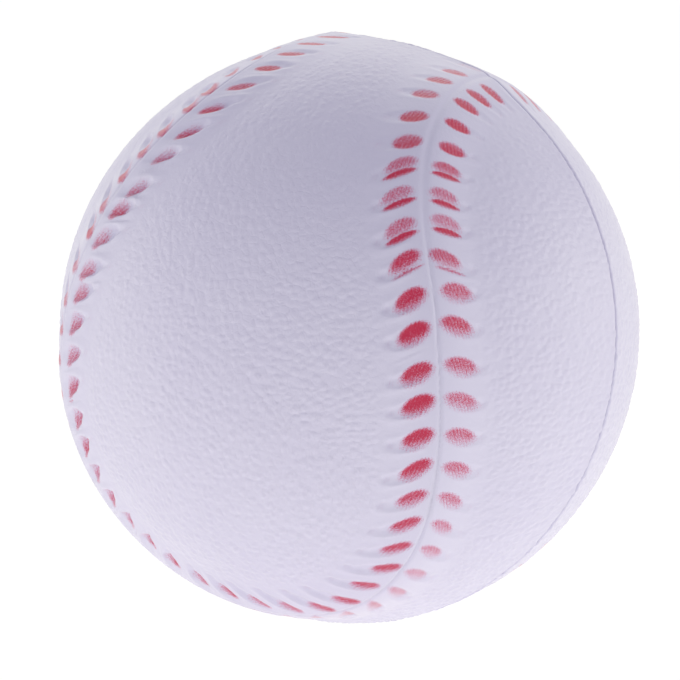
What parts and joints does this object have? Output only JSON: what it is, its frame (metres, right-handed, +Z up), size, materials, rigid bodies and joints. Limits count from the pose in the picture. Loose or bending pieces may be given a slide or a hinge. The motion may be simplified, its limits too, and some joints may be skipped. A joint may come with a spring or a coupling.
{
  "type": "practice baseball",
  "caption": "Foam practice ball with a moulded skin that copies a sewn ball: a raised seam line, slanted stitch pockets and painted red stitches.",
  "frame": {"origin": "centre of the ball", "axes": "+Z up as in the picture; the mould's parting plane is the XZ plane; -Y is the pole of the front half of the skin, and +X is to the right of it"},
  "size_m": [0.0737, 0.0727, 0.0747],
  "materials": {
    "skin": "satin, finely pebbled",
    "core": "open foam"
  },
  "bodies": {
    "root": {"foam_core": "core", "skin_front": "skin", "skin_back": "skin"}
  },
  "joints": []
}
